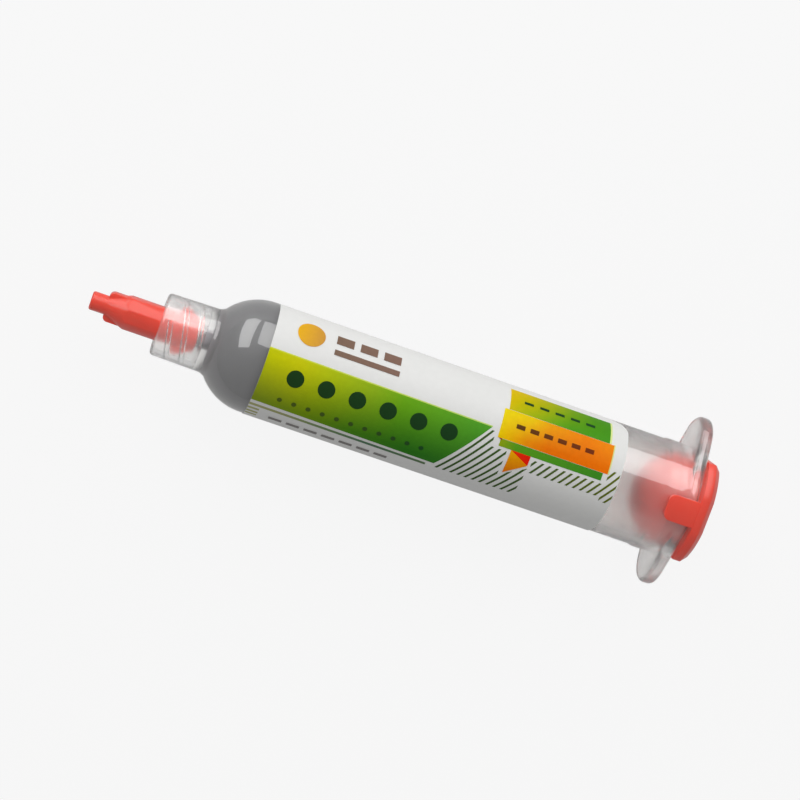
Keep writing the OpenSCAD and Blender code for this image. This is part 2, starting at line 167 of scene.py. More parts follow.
bpy.context.scene.view_settings.view_transform = "Standard"

# Painted board: a plain white that keeps the soft shadow of the syringe
BOARD_W, BOARD_DROP, BOARD_MIRRORED, BOARD_PLAIN = 6, 0.05 * MM, 0.2, 0.88
board, tree = new_finish("white_painted_board")
share = add_node(tree, "ShaderNodeMath", operation="MULTIPLY", values={1: BOARD_PLAIN},
                 links={0: plain_share(tree, BOARD_MIRRORED).outputs[0]})
paint = add_node(tree, "ShaderNodeBsdfDiffuse", values={"Color": linear("CFCFCF")})
white = add_node(tree, "ShaderNodeEmission", values={"Color": linear("FFFFFF"), "Strength": 1.0})
mixed = add_node(tree, "ShaderNodeMixShader",
                 links={0: share.outputs[0], 1: paint.outputs[0], 2: white.outputs[0]})
add_node(tree, "ShaderNodeOutputMaterial", links={"Surface": mixed.outputs[0]})

bpy.ops.object.select_all(action="DESELECT")
bpy.ops.mesh.primitive_plane_add(size=BOARD_W, location=(0, 0, -BOARD_DROP))
floor = bpy.context.object
floor.name = "table"
floor.data.materials.append(board)

# Barrel
# One clear moulding of polypropylene: a tapered nozzle inside a locking collar, the round
# shoulder, the tube, and the flange with two finger wings. It is moulded in one shot.
TUBE_R, BORE_R, RING_R = 9.3, 7.95, 9.5
NOZZLE_TIP, NOZZLE_TIP_R, NOZZLE_TAPER, CHANNEL_R = -18.8, 1.97, 0.03, 1.05
COLLAR_MOUTH, COLLAR_FLOOR = -16.7, -9.2
COLLAR_R, COLLAR_BORE_R, COLLAR_ROOT_R, COLLAR_ROUND = 5.2, 4.1, 5.37, 0.6
FLANGE_FRONT, FLANGE_REAR, FLANGE_R, FLANGE_ROUND = 72.7, 74.9, 9.6, 0.75
WING_Y, WING_R = 9.24, 5.5
TIP_EDGE, ROOT_FILLET, MOUTH_EDGE, FLOOR_EDGE = 0.25, 0.3, 0.3, 0.05
RING_FRONT = 68.5
MERGE_GAP = 0.002 * MM


def arc(x, r, radius, start, end, steps):
    """Points of a round in the turned outline; 0 degrees points along the barrel, 90 outwards."""
    angles = [math.radians(start + (end - start) * i / steps) for i in range(steps + 1)]
    return [(x + radius * math.cos(a), r + radius * math.sin(a)) for a in angles]


def only(piece):
    """Selects the piece alone and makes it the active one."""
    bpy.ops.object.select_all(action="DESELECT")
    piece.select_set(True)
    bpy.context.view_layer.objects.active = piece


def finished(piece, name):
    """Puts the piece's place into its mesh, so that its object sits at the origin."""
    if bpy.context.object.mode != "OBJECT":
        bpy.ops.object.mode_set(mode="OBJECT")
    only(piece)
    bpy.ops.object.transform_apply(location=True, rotation=True, scale=True)
    piece.name = name
    piece.data.name = name
    return piece


def drawn(outline, start=0, closed=True):
    """Draws an outline point by point, as stations and radii in mm, and leaves it in edit mode."""
    a = math.radians(start)
    points = [Vector((at(x), -r * MM * math.sin(a), AXIS_Z + r * MM * math.cos(a)))
              for x, r in outline]
    bpy.ops.object.select_all(action="DESELECT")
    bpy.ops.mesh.primitive_plane_add(size=MM, location=points[0])
    bpy.ops.object.mode_set(mode="EDIT")
    bpy.ops.mesh.select_mode(type="VERT")
    bpy.ops.mesh.select_all(action="SELECT")
    bpy.ops.mesh.merge(type="CENTER")
    for here, there in zip(points, points[1:] + (points[:1] if closed else [])):
        bpy.ops.mesh.extrude_region_move(TRANSFORM_OT_translate={"value": there - here})
    bpy.ops.mesh.select_all(action="SELECT")
    bpy.ops.mesh.remove_doubles(threshold=MERGE_GAP)
    return bpy.context.object


def spun(name, outline, steps=96, angle=360, start=0):
    """Draws an open outline and spins it round the axis of the barrel."""
    piece = drawn(outline, start, closed=False)
    bpy.ops.mesh.spin(steps=steps, angle=math.radians(angle), center=(0, 0, AXIS_Z), axis=(1, 0, 0))
    bpy.ops.mesh.select_all(action="SELECT")
    bpy.ops.mesh.remove_doubles(threshold=MERGE_GAP)
    bpy.ops.mesh.normals_make_consistent(inside=False)
    return finished(piece, name)


def applied(piece, kind, **settings):
    """Adds a modifier to the piece and applies it."""
    only(piece)
    modifier = piece.modifiers.new(kind.lower(), kind)
    for key, value in settings.items():
        setattr(modifier, key, value)
    bpy.ops.object.modifier_apply(modifier=modifier.name)
    return piece


def joined(pieces):
    """Joins the pieces into the first of them."""
    only(pieces[0])
    for piece in pieces[1:]:
        piece.select_set(True)
    bpy.ops.object.join()
    return pieces[0]


def combined(piece, other, operation):
    """Adds the other solid to the piece, takes it away or keeps what they share."""
    applied(piece, "BOOLEAN", operation=operation, object=other, solver="MANIFOLD")
    bpy.data.objects.remove(other)
    piece.data.materials.clear()
    return piece


def smoothed(piece, angle=30):
    """Shades the piece smooth, with its edges sharper than the angle kept."""
    only(piece)
    bpy.ops.object.shade_smooth_by_angle(angle=math.radians(angle))
    return piece


def nozzle_r(station):
    """Outer radius of the tapered nozzle."""
    return NOZZLE_TIP_R + NOZZLE_TAPER * (station - NOZZLE_TIP)


# Outside of the moulding, from the nozzle's tip into the collar, round its mouth and back to its
# root, which flares over a few degrees into the round shoulder. Behind the shoulder come the tube
# and a slightly thicker ring, which runs into the flange.
ROOT_FLARE = 3
flange_middle = (FLANGE_FRONT + FLANGE_REAR) / 2
collar_root = math.degrees(math.asin(COLLAR_ROOT_R / TUBE_R))
outer = [(NOZZLE_TIP, 0), (NOZZLE_TIP, nozzle_r(NOZZLE_TIP) - TIP_EDGE),
         (NOZZLE_TIP + TIP_EDGE, nozzle_r(NOZZLE_TIP)),
         (COLLAR_FLOOR - ROOT_FILLET, nozzle_r(COLLAR_FLOOR)),
         (COLLAR_FLOOR, nozzle_r(COLLAR_FLOOR) + ROOT_FILLET),
         (COLLAR_FLOOR, COLLAR_BORE_R - FLOOR_EDGE), (COLLAR_FLOOR - FLOOR_EDGE, COLLAR_BORE_R),
         (COLLAR_MOUTH + MOUTH_EDGE, COLLAR_BORE_R), (COLLAR_MOUTH + 0.05, COLLAR_BORE_R + 0.22)]
outer += arc(COLLAR_MOUTH + COLLAR_ROUND, COLLAR_R - COLLAR_ROUND, COLLAR_ROUND, 180, 92, 5)
outer += [(-8.3, 5.35), (-7.95, 5.43), (-7.62, 5.6)]
outer += arc(0, 0, TUBE_R, 180 - collar_root - ROOT_FLARE, 90, 24)
outer += [(RING_FRONT, TUBE_R), (RING_FRONT + 0.2, TUBE_R + 0.04),
          (RING_FRONT + 0.5, RING_R - 0.04), (RING_FRONT + 0.8, RING_R),
          (72.2, RING_R), (flange_middle, RING_R), (flange_middle, 0)]
barrel = spun("barrel_moulding", outer)

# Flange: the hull of a middle disc and two wing discs, with a round rim
discs = []
for wing_y, wing_r in ((0, FLANGE_R), (WING_Y, WING_R), (-WING_Y, WING_R)):
    bpy.ops.object.select_all(action="DESELECT")
    bpy.ops.mesh.primitive_cylinder_add(
        vertices=96, radius=wing_r * MM, depth=(FLANGE_REAR - FLANGE_FRONT) * MM,
        location=(at(flange_middle), wing_y * MM, AXIS_Z),
        rotation=(0, math.pi / 2, 0))
    discs.append(bpy.context.object)
flange = joined(discs)
bpy.ops.object.mode_set(mode="EDIT")
bpy.ops.mesh.select_all(action="SELECT")
bpy.ops.mesh.convex_hull()
bpy.ops.mesh.select_all(action="SELECT")
bpy.ops.mesh.dissolve_limited(angle_limit=math.radians(0.5))
bpy.ops.mesh.normals_make_consistent(inside=False)
finished(flange, "flange")
applied(flange, "BEVEL", width=FLANGE_ROUND * MM, segments=4, limit_method="ANGLE",
        angle_limit=math.radians(60))
combined(barrel, flange, "UNION")

# Cavity: the nozzle's channel, the round inside of the shoulder, and the bore with its lead-in
cavity = [(NOZZLE_TIP - 1, 0), (NOZZLE_TIP - 1, CHANNEL_R), (-BORE_R, CHANNEL_R), (-7.86, 1.2)]
cavity += arc(0, 0, BORE_R, 170, 90, 24)
cavity += [(FLANGE_REAR - 0.4, BORE_R), (FLANGE_REAR + 1, BORE_R + 1.4), (FLANGE_REAR + 1, 0)]
combined(barrel, spun("cavity", cavity), "DIFFERENCE")

# Locking thread: two low ridges that wind through the collar from its mouth, one turn in 5 mm.
# Each is screwed round the origin of its object, which first goes to the axis of the barrel.
THREAD_STARTS, THREAD_TURN, THREAD_LENGTH, THREAD_STEPS = (160, 340), 390, 5.417, 60
ridge = [(-15.6, 4.35), (-15.6, 4.12), (-15.4, 3.93), (-14.9, 3.93), (-14.7, 4.12), (-14.7, 4.35)]
for start in THREAD_STARTS:
    thread = drawn(ridge, start)
    bpy.ops.object.mode_set(mode="OBJECT")
    bpy.context.scene.cursor.location = (0, 0, AXIS_Z)
    bpy.ops.object.origin_set(type="ORIGIN_CURSOR")
    applied(thread, "SCREW", axis="X", angle=math.radians(THREAD_TURN),
            screw_offset=THREAD_LENGTH * MM, steps=THREAD_STEPS, render_steps=THREAD_STEPS,
            use_merge_vertices=True, merge_threshold=0.001 * MM)
    bpy.ops.object.mode_set(mode="EDIT")
    bpy.ops.mesh.select_all(action="DESELECT")
    bpy.ops.mesh.select_mode(type="EDGE")
    bpy.ops.mesh.select_non_manifold()
    bpy.ops.mesh.fill()
    bpy.ops.mesh.select_all(action="SELECT")
    bpy.ops.mesh.normals_make_consistent(inside=False)
    combined(barrel, finished(thread, "thread"), "UNION")
smoothed(barrel)


def scale_for(size):
    """The scale of a noise whose features are of that size in mm."""
    return 1 / (size * MM)


# Clear polypropylene: see-through with a milky haze and a glossy moulded skin. The collar is the
# clearest, and the rest looks a shade greyer.
clear, tree = new_finish("moulded_clear_polypropylene")
place = add_node(tree, "ShaderNodeTexCoord")
haze = add_node(tree, "ShaderNodeTexNoise", values={"Scale": scale_for(3.85), "Detail": 2.0},
                links={"Vector": place.outputs["Object"]})
waves = add_node(tree, "ShaderNodeBump", values={"Strength": 0.04, "Distance": 0.02 * MM},
                 links={"Height": haze.outputs[0]})
cloud = add_node(tree, "ShaderNodeMapRange", values={"To Min": 0.22, "To Max": 0.28},
                 links={"Value": haze.outputs[0]})
spot = add_node(tree, "ShaderNodeSeparateXYZ", links={0: place.outputs["Object"]})
behind = add_node(tree, "ShaderNodeMapRange", interpolation_type="SMOOTHSTEP", values={
    "From Min": at(COLLAR_FLOOR - 0.7), "From Max": at(COLLAR_FLOOR + 0.3)},
    links={"Value": spot.outputs["X"]})
tint = add_node(tree, "ShaderNodeMix", data_type="RGBA",
                values={6: linear("FBFBFA"), 7: linear("E8E6E4")}, links={0: behind.outputs[0]})
skin = add_node(tree, "ShaderNodeBsdfPrincipled", values={
    "IOR": 1.49, "Specular IOR Level": 0.25, "Transmission Weight": 0.985, "Coat Weight": 1.0,
    "Coat Roughness": 0.03, "Coat IOR": 1.85},
    links={"Base Color": tint.outputs[2], "Roughness": cloud.outputs[0],
           "Normal": waves.outputs[0]})
add_node(tree, "ShaderNodeOutputMaterial", links={"Surface": skin.outputs[0]})
barrel.data.materials.append(clear)
barrel.visible_shadow = False
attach(barrel, "barrel")
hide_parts("barrel")

# Paste
# Grey solder paste: fine metal powder in a tacky flux. It fills the nozzle, the shoulder and the
# tube up to the piston, and wets the wall, so that no air shows between them. The paste that the
# nose of the piston pushes out of the shoulder is a cone of its own.
WET_R, WET_CHANNEL_R = BORE_R + 0.06, CHANNEL_R + 0.05
NOSE_AT_END, CONE_FRONT, FILL_FRONT, FILL_REAR = -6.27, -6.26, 30.27, 36.7
head = [(NOZZLE_TIP + 0.15, 0), (NOZZLE_TIP + 0.15, WET_CHANNEL_R), (-7.94, WET_CHANNEL_R)]
head += [(-7.92, 1.2)] + arc(0, 0, WET_R, 170, 90, 24)
head += [(0, 7.75), (-6.12, 2.15), (NOSE_AT_END, 2.0), (NOSE_AT_END, 0)]
paste_head = smoothed(spun("paste_in_shoulder", head))
cone = [(CONE_FRONT, 0), (CONE_FRONT, 1.99), (-6.11, 2.14), (0, 7.74), (0, 0)]
paste_cone = smoothed(spun("paste_before_piston", cone))
fill = [(0, 0), (0, WET_R), (FILL_REAR, WET_R), (FILL_REAR, 7.9), (FILL_FRONT, 2.0),
        (FILL_FRONT, 0)]
paste_fill = smoothed(spun("paste_in_tube", fill))


def mottled(tree, size, low, high, detail=2.0):
    """A colour that wanders between two in patches of a size in mm."""
    place = add_node(tree, "ShaderNodeTexCoord")
    patches = add_node(tree, "ShaderNodeTexNoise", links={"Vector": place.outputs["Object"]},
                       values={"Scale": scale_for(size), "Detail": detail})
    return add_node(tree, "ShaderNodeMix", data_type="RGBA", links={0: patches.outputs[0]},
                    values={6: linear(low), 7: linear(high)})


# Solder paste: mid grey, wet satin, with a very fine grain that is drawn at 0.2 mm to show. In the
# nozzle, where it is a thin thread inside thick walls, it is painted paler: painted light for the
# milky glow of those walls.
paste, tree = new_finish("grey_solder_paste")
place = add_node(tree, "ShaderNodeTexCoord")
grain = add_node(tree, "ShaderNodeTexNoise", values={"Scale": scale_for(0.2), "Detail": 2.0},
                 links={"Vector": place.outputs["Object"]})
smear = mottled(tree, 5.55, "707173", "7C7D80", detail=3.0)
spot = add_node(tree, "ShaderNodeSeparateXYZ", links={0: place.outputs["Object"]})
# Painted light: the paste turns paler towards the nozzle, standing in for the haze of light in the
# milky collar walls
painted_haze = add_node(tree, "ShaderNodeMapRange", values={"From Min": at(-7.0), "From Max": at(-9.0)},
                links={"Value": spot.outputs["X"]})
tone = add_node(tree, "ShaderNodeMix", data_type="RGBA", values={7: linear("BAB6BC")},
                links={0: painted_haze.outputs[0], 6: smear.outputs[2]})
rough = add_node(tree, "ShaderNodeBump", values={"Strength": 0.25, "Distance": 0.03 * MM},
                 links={"Height": grain.outputs[0]})
body = add_node(tree, "ShaderNodeBsdfPrincipled", values={"Roughness": 0.5},
                links={"Base Color": tone.outputs[2], "Normal": rough.outputs[0]})
add_node(tree, "ShaderNodeOutputMaterial", links={"Surface": body.outputs[0]})
for piece in (paste_head, paste_cone, paste_fill):
    piece.data.materials.append(paste)
    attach(piece, "barrel")
    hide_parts("paste")
# At full travel a thin disc is left of the cone and of the fill
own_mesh(paste_cone)
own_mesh(paste_fill)

# Piston
# A white polyethylene follower behind the paste: a cone for a nose, and a skirt with two
# wiping bands that touch the bore. It is moulded hollow.
BAND_R, WAIST_R, HOLLOW_R = 7.92, 7.32, 6.02
follower = [(30.3, 0), (30.3, 1.9), (30.4, 2.05), (36.7, 7.85), (36.9, BAND_R), (38.3, BAND_R)]
follower += [(38.5, 7.85), (38.6, WAIST_R), (45.5, WAIST_R), (45.6, 7.85), (45.8, BAND_R)]
follower += [(47.1, BAND_R), (47.3, 7.75), (47.3, 6.1), (47.1, HOLLOW_R), (36.8, HOLLOW_R)]
follower += [(32.9, 2.0), (32.9, 0)]
piston = smoothed(spun("piston_follower", follower))

# Polyethylene: white, waxy and a little translucent, satin from the mould
waxy, tree = new_finish("moulded_white_polyethylene")
tone = mottled(tree, 2.5, "EAE9E4", "F2F2EE")
body = add_node(tree, "ShaderNodeBsdfPrincipled",
                values={"Roughness": 0.42, "Subsurface Weight": 0.1, "Subsurface Scale": 0.5 * MM,
                        "IOR": 1.51}, links={"Base Color": tone.outputs[2]})
add_node(tree, "ShaderNodeOutputMaterial", links={"Surface": body.outputs[0]})
piston.data.materials.append(waxy)
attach(piston, "piston")
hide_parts("piston")

# Caps
# Two red mouldings: the tip cap locks into the collar with its lugs and closes the nozzle,
# and the end cap plugs the bore and snaps over the flange with its two legs.
TIP_CAP_ROUND, END_CAP_ROUND = 0.1, 0.18


def moulded_copy(node_name, name, edge_round):
    """A copy of a CAD node with its triangles merged and its edges rounded as a mould does."""
    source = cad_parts[node_name]
    piece = source.copy()
    piece.data = source.data.copy()
    bpy.context.scene.collection.objects.link(piece)
    piece.parent = None
    for key in [k for k in piece.keys() if k.startswith("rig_")]:
        del piece[key]
    only(piece)
    bpy.ops.object.mode_set(mode="EDIT")
    bpy.ops.mesh.select_all(action="SELECT")
    bpy.ops.mesh.remove_doubles(threshold=MERGE_GAP)
    bpy.ops.mesh.dissolve_limited(angle_limit=math.radians(0.6))
    finished(piece, name)
    applied(piece, "BEVEL", width=edge_round * MM, segments=2, limit_method="ANGLE",
            angle_limit=math.radians(28), use_clamp_overlap=True)
    return smoothed(piece, angle=35)


# Dyed polypropylene: warm red, satin, faintly wavy, with light that spreads a little inside it
red, tree = new_finish("moulded_red_polypropylene")
tone = mottled(tree, 2.0, "FF4630", "FF503A")
place = add_node(tree, "ShaderNodeTexCoord")
waves = add_node(tree, "ShaderNodeTexNoise", values={"Scale": scale_for(2.0), "Detail": 2.0},
                 links={"Vector": place.outputs["Object"]})
orange_peel = add_node(tree, "ShaderNodeBump", values={"Strength": 0.05, "Distance": 0.02 * MM},
                       links={"Height": waves.outputs[0]})
body = add_node(tree, "ShaderNodeBsdfPrincipled",
                values={"Roughness": 0.36, "IOR": 1.49, "Coat Weight": 0.6,
                        "Coat Roughness": 0.14, "Coat IOR": 1.5, "Subsurface Weight": 0.7,
                        "Subsurface Scale": 0.5 * MM, "Subsurface Radius": (1.0, 0.3, 0.2)},
                links={"Base Color": tone.outputs[2], "Normal": orange_peel.outputs[0]})
add_node(tree, "ShaderNodeOutputMaterial", links={"Surface": body.outputs[0]})
for node_name, edge_round in (("tip_cap", TIP_CAP_ROUND), ("end_cap", END_CAP_ROUND)):
    cap = moulded_copy(node_name, node_name + "_moulding", edge_round)
    cap.data.materials.clear()
    cap.data.materials.append(red)
    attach(cap, node_name)
    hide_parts(node_name)

# Label
# White coated film wrapped round the tube, with its front edge square to it and its rear corners
# cut round. A bare strip of the tube shows between its two edges, on the far side.
LABEL_FRONT, LABEL_REAR, LABEL_EDGE, LABEL_WRAP = 0.6, 61.1, -87, 305
FILM_R, FILM_T = 9.31, 0.1
CORNER_R = 4.0


def sheet(name, front, rear, first, last, radius, step=2.5):
    """An open field on the tube between two stations and two angles, from its top towards -Y."""
    steps = max(1, round((last - first) / step))
    return spun(name, [(front, radius), (rear, radius)], steps, angle=first - last, start=first)


def thickened(piece, thickness):
    """Gives an open sheet its thickness in mm, outwards."""
    return applied(piece, "SOLIDIFY", thickness=thickness * MM, offset=1)


# Each point of the rear edge that is within a corner is pulled forwards on to the corner's round
label = sheet("label_film", LABEL_FRONT, LABEL_REAR, LABEL_EDGE, LABEL_EDGE + LABEL_WRAP, FILM_R,
              step=1)
pulled = {}
for point in label.data.vertices:
    angle = math.degrees(math.atan2(-point.co.y, point.co.z - AXIS_Z))
    turned = (angle - LABEL_EDGE + 1) % 360 - 1
    reach = math.radians(max(0, min(turned, LABEL_WRAP - turned))) * FILM_R
    if point.co.x > at(LABEL_REAR) - 0.01 * MM and reach < CORNER_R:
        pulled[point.index] = CORNER_R - math.sqrt(CORNER_R ** 2 - (CORNER_R - reach) ** 2)
for index, shift in pulled.items():
    bpy.ops.object.mode_set(mode="EDIT")
    bpy.ops.mesh.select_mode(type="VERT")
    bpy.ops.mesh.select_all(action="DESELECT")
    bpy.ops.object.mode_set(mode="OBJECT")
    label.data.vertices[index].select = True
    bpy.ops.object.mode_set(mode="EDIT")
    bpy.ops.transform.translate(value=(-shift * MM, 0, 0))
    bpy.ops.object.mode_set(mode="OBJECT")
smoothed(thickened(label, FILM_T))

# Coated film: a clean white with a soft sheen and the faint mottle of its coating, which is
# drawn at 1.1 mm to show
film, tree = new_finish("white_coated_film")
tone = mottled(tree, 1.11, "E6E6E4", "ECECEA", detail=3.0)
body = add_node(tree, "ShaderNodeBsdfPrincipled",
                values={"Roughness": 0.36, "Specular IOR Level": 0.2},
                links={"Base Color": tone.outputs[2]})
add_node(tree, "ShaderNodeOutputMaterial", links={"Surface": body.outputs[0]})
label.data.materials.append(film)
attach(label, "barrel")
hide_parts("label")

# Fields of print
# Offset inks on the film: the band across its middle, the two tags and the strip below them.
# Each field is a satin skin of ink, and its colour runs over from one end to the other.
INK_R, OVER_R, INK_T = 9.42, 9.45, 0.02
SPARE_X, SPARE_ANGLE = 0.1, 1
BAND = [(0.6, 37.3), (31.8, 40.6), (38.4, -16.9), (0.6, -19.4)]
UPPER_TAG = (40.4, 58.0, -72, -40.9)
LOWER_TAG = (39.7, 58.85, -40.6, -9.5)
STRIP = (40.3, 58.1, -9.2, -1.6)


def plan_y(angle):
    """How far to the side a point of the print lies, in mm as seen from above."""
    return -INK_R * math.sin(math.radians(angle))


def trimmed(piece, corners):
    """Cuts a sheet to an outline with straight sides as seen from above, given anticlockwise."""
    plan = [Vector((at(x), plan_y(angle) * MM, 0)) for x, angle in corners]
    only(piece)
    bpy.ops.object.mode_set(mode="EDIT")
    for here, there in zip(plan, plan[1:] + plan[:1]):
        bpy.ops.mesh.select_all(action="SELECT")
        outwards = (there - here).cross(Vector((0, 0, 1))).normalized()
        bpy.ops.mesh.bisect(plane_co=here, plane_no=outwards, clear_outer=True,
                            threshold=0.001 * MM)
    bpy.ops.object.mode_set(mode="OBJECT")
    return piece


def plan_field(name, corners, radius):
    """A sheet inside an outline of stations and angles, its corners anticlockwise from above."""
    stations, angles = zip(*corners)
    piece = sheet(name, min(stations) - SPARE_X, max(stations) + SPARE_X,
                  min(angles) - SPARE_ANGLE, max(angles) + SPARE_ANGLE, radius)
    return trimmed(piece, corners)


def colour_run(tree, spot, stops):
    """A colour that runs along the tube through the stops, each a station and a colour."""
    first, last = stops[0][0], stops[-1][0]
    far = add_node(tree, "ShaderNodeMapRange", values={"From Min": at(first), "From Max": at(last)},
                   links={"Value": spot.outputs["X"]})
    ramp = add_node(tree, "ShaderNodeValToRGB", links={0: far.outputs[0]})
    for index, (station, code) in enumerate(stops):
        position = (station - first) / (last - first)
        elements = ramp.color_ramp.elements
        element = elements[index] if index < 2 else elements.new(position)
        element.position = position
        element.color = linear(code)
    return ramp.outputs[0]


def ink(name, upper, lower=None, angles=None):
    """Offset ink with a fine mottle, drawn at 0.7 mm to show. Where it has a second run of colour,
    the first turns into that between two angles."""
    finish, tree = new_finish(name)
    place = add_node(tree, "ShaderNodeTexCoord")
    spot = add_node(tree, "ShaderNodeSeparateXYZ", links={0: place.outputs["Object"]})
    colour = colour_run(tree, spot, upper)
    if lower:
        side = add_node(tree, "ShaderNodeMapRange", links={"Value": spot.outputs["Y"]}, values={
            "From Min": plan_y(angles[0]) * MM, "From Max": plan_y(angles[1]) * MM})
        both = add_node(tree, "ShaderNodeMix", data_type="RGBA",
                        links={0: side.outputs[0], 6: colour, 7: colour_run(tree, spot, lower)})
        colour = both.outputs[2]
    mottle = add_node(tree, "ShaderNodeTexNoise", values={"Scale": scale_for(0.714), "Detail": 2.0},
                      links={"Vector": place.outputs["Object"]})
    value = add_node(tree, "ShaderNodeMapRange", values={"To Min": 0.93, "To Max": 1.07},
                     links={"Value": mottle.outputs[0]})
    tone = add_node(tree, "ShaderNodeHueSaturation",
                    links={"Color": colour, "Value": value.outputs[0]})
    body = add_node(tree, "ShaderNodeBsdfPrincipled",
                    values={"Roughness": 0.34, "Specular IOR Level": 0.06},
                    links={"Base Color": tone.outputs[0]})
    add_node(tree, "ShaderNodeOutputMaterial", links={"Surface": body.outputs[0]})
    return finish


def printed(piece, finish, node):
    """Gives a skin of ink its finish and lets it ride on the barrel."""
    smoothed(piece)
    piece.data.materials.append(finish)
    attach(piece, "barrel")
    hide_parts(node)


# Band ink: yellow-green at the nozzle end, turning to leaf green, and darker round the tube
band_ink = ink(
    "yellow_to_green_ink",
    [(0.6, "CACD04"), (6, "CECE0A"), (12, "B2C414"), (18.5, "90B41C"), (23.5, "6CAB18"),
     (37, "50A02A")],
    [(0.6, "8A9E22"), (9, "7A9C0E"), (17, "4C8C14"), (26.5, "307E1A"), (37, "347E22")], (-13, 34))
band = thickened(plan_field("band_print", BAND, INK_R), INK_T)
printed(band, band_ink, "print_band")
# Upper tag ink: mustard yellow that turns to a fresh green
upper_tag_ink = ink(
    "mustard_to_green_ink",
    [(40, "E4BE00"), (44, "CCB800"), (48, "A4AE0A"), (51.5, "72A010"), (55, "4E9214"),
     (58, "46901A")],
    [(40, "D4BC00"), (43, "AEB800"), (46.5, "86AC0C"), (49, "62A616"), (51, "4E9C16"),
     (58, "46981E")], (-70, -42))
upper_tag = thickened(sheet("upper_tag_print", *UPPER_TAG, INK_R), INK_T)
printed(upper_tag, upper_tag_ink, "print_upper_tag")
# Lower tag ink: yellow that turns to a warm orange, deeper at its lower edge
lower_tag_ink = ink(
    "yellow_to_orange_ink",
    [(39.9, "F0D800"), (44.5, "F0CA00"), (48, "F09E00"), (54, "F48200"), (58, "F68C00")],
    [(39.9, "F4CE00"), (44.5, "F09006"), (48, "F07402"), (58, "F67400")], (-38, -14))
lower_tag = thickened(sheet("lower_tag_print", *LOWER_TAG, INK_R), INK_T)
printed(lower_tag, lower_tag_ink, "print_lower_tag")
# Strip ink: leaf green, yellower at its front end
strip_ink = ink("leaf_green_ink", [(40.3, "96AA14"), (43, "5AA01E"), (58, "409024")])
strip = thickened(sheet("strip_print", *STRIP, INK_R), INK_T)
printed(strip, strip_ink, "print_strip")

# Ribbon and print edges
# A folded ribbon end hangs below the strip, printed in red on its lit half and in amber on the
# other. The band and the tags have thin pale edges, and one tag shows a small dark fold.
RIBBON_RED = [(42.5, -1.6), (45.9, 8.3), (45.9, -1.6)]
RIBBON_AMBER = [(42.5, -1.6), (42.5, 23.2), (45.9, 8.3)]
FOLD = [(39.8, -9.5), (40.5, -7.6), (40.5, -9.5)]
BAND_EDGE = [(0.6, -19.4), (38.4, -16.9), (38.5, -18.1), (0.6, -20.6)]
UPPER_TAG_EDGE = (58.0, 58.3, -72, -41.2)
LOWER_TAG_EDGE = (58.85, 59.05, -41.2, -9.5)

# Ribbon inks: a bright red, and a yellow amber that deepens to orange at its lower end
red_ink = ink("ribbon_red_ink", [(42.5, "F2300A"), (45.9, "F21E0A")])
ribbon_red = thickened(plan_field("ribbon_red_print", RIBBON_RED, OVER_R), INK_T)
printed(ribbon_red, red_ink, "print_ribbon")
amber_ink = ink("ribbon_amber_ink", [(42.5, "FAB400"), (45.9, "F49A00")],
                [(42.5, "EA7606"), (45.9, "EC7C08")], (-1, 22))
ribbon_amber = thickened(plan_field("ribbon_amber_print", RIBBON_AMBER, OVER_R), INK_T)
printed(ribbon_amber, amber_ink, "print_ribbon")
# Fold ink: a dark red brown
fold_ink = ink("fold_brown_ink", [(39.8, "A8481C"), (40.5, "963C18")])
fold = thickened(plan_field("fold_print", FOLD, OVER_R), INK_T)
printed(fold, fold_ink, "print_lower_tag")
# Edge ink: the pale yellow-green rim that the fields print over
edge_ink = ink("pale_lime_ink", [(0.6, "D8E03C"), (38, "C2E072"), (58, "E0EC96")])
band_edge = thickened(plan_field("band_edge_print", BAND_EDGE, INK_R), INK_T)
printed(band_edge, edge_ink, "print_band")
upper_tag_edge = thickened(sheet("upper_tag_edge_print", *UPPER_TAG_EDGE, INK_R), INK_T)
printed(upper_tag_edge, edge_ink, "print_upper_tag")
lower_tag_edge = thickened(sheet("lower_tag_edge_print", *LOWER_TAG_EDGE, INK_R), INK_T)
printed(lower_tag_edge, edge_ink, "print_lower_tag")

# Hatch and rules
# Slanting dark green lines fill the corner between the band, the tags and the plain field. A
# long rule runs below the band, with three short stripes under its front end.
SLANT = [(31.5, 39.5), (37.8, -18.5)]
HATCH_PITCH, HATCH_W, HATCH_COUNT = 1.25, 0.42, 24
HATCH_LOW, HATCH_HIGH = 50, -20
# The parts of that corner, as stations and angles
HATCH_PARTS = [
    [(30, 45.5), (39.2, 45.5), (39.2, -14), (30, -14)],
    [(39.2, 45.5), (41.9, 45.5), (41.9, 1.2), (39.2, 1.2)],
    [(41.9, 45.5), (45.85, 45.5), (46.1, 11), (41.9, 27)],
    [(46.4, 14.5), (59.0, 14.5), (59.0, 1.2), (46.4, 1.2)],
    [(59.0, 19), (60.95, 19), (60.95, -14), (59.0, -14)]]
RULE = [(0.6, 45.0), (30.6, 47.0), (30.6, 43.8), (0.6, 41.8)]
STRIPE_COUNT, STRIPE_TOP, STRIPE_PITCH, STRIPE_H = 3, 48.5, 6.5, 3.0
STRIPE_FRONT, STRIPE_REAR = 0.6, 2.5


def slant_x(angle):
    """Station of the slanting end of the band at an angle."""
    (x0, a0), (x1, a1) = SLANT
    return x0 + (plan_y(angle) - plan_y(a0)) / (plan_y(a1) - plan_y(a0)) * (x1 - x0)


def repeated(piece, count, pitch):
    """Repeats the piece along the tube, with its pitch in mm."""
    return applied(piece, "ARRAY", count=count, use_relative_offset=False,
                   use_constant_offset=True, constant_offset_displace=(pitch * MM, 0, 0))


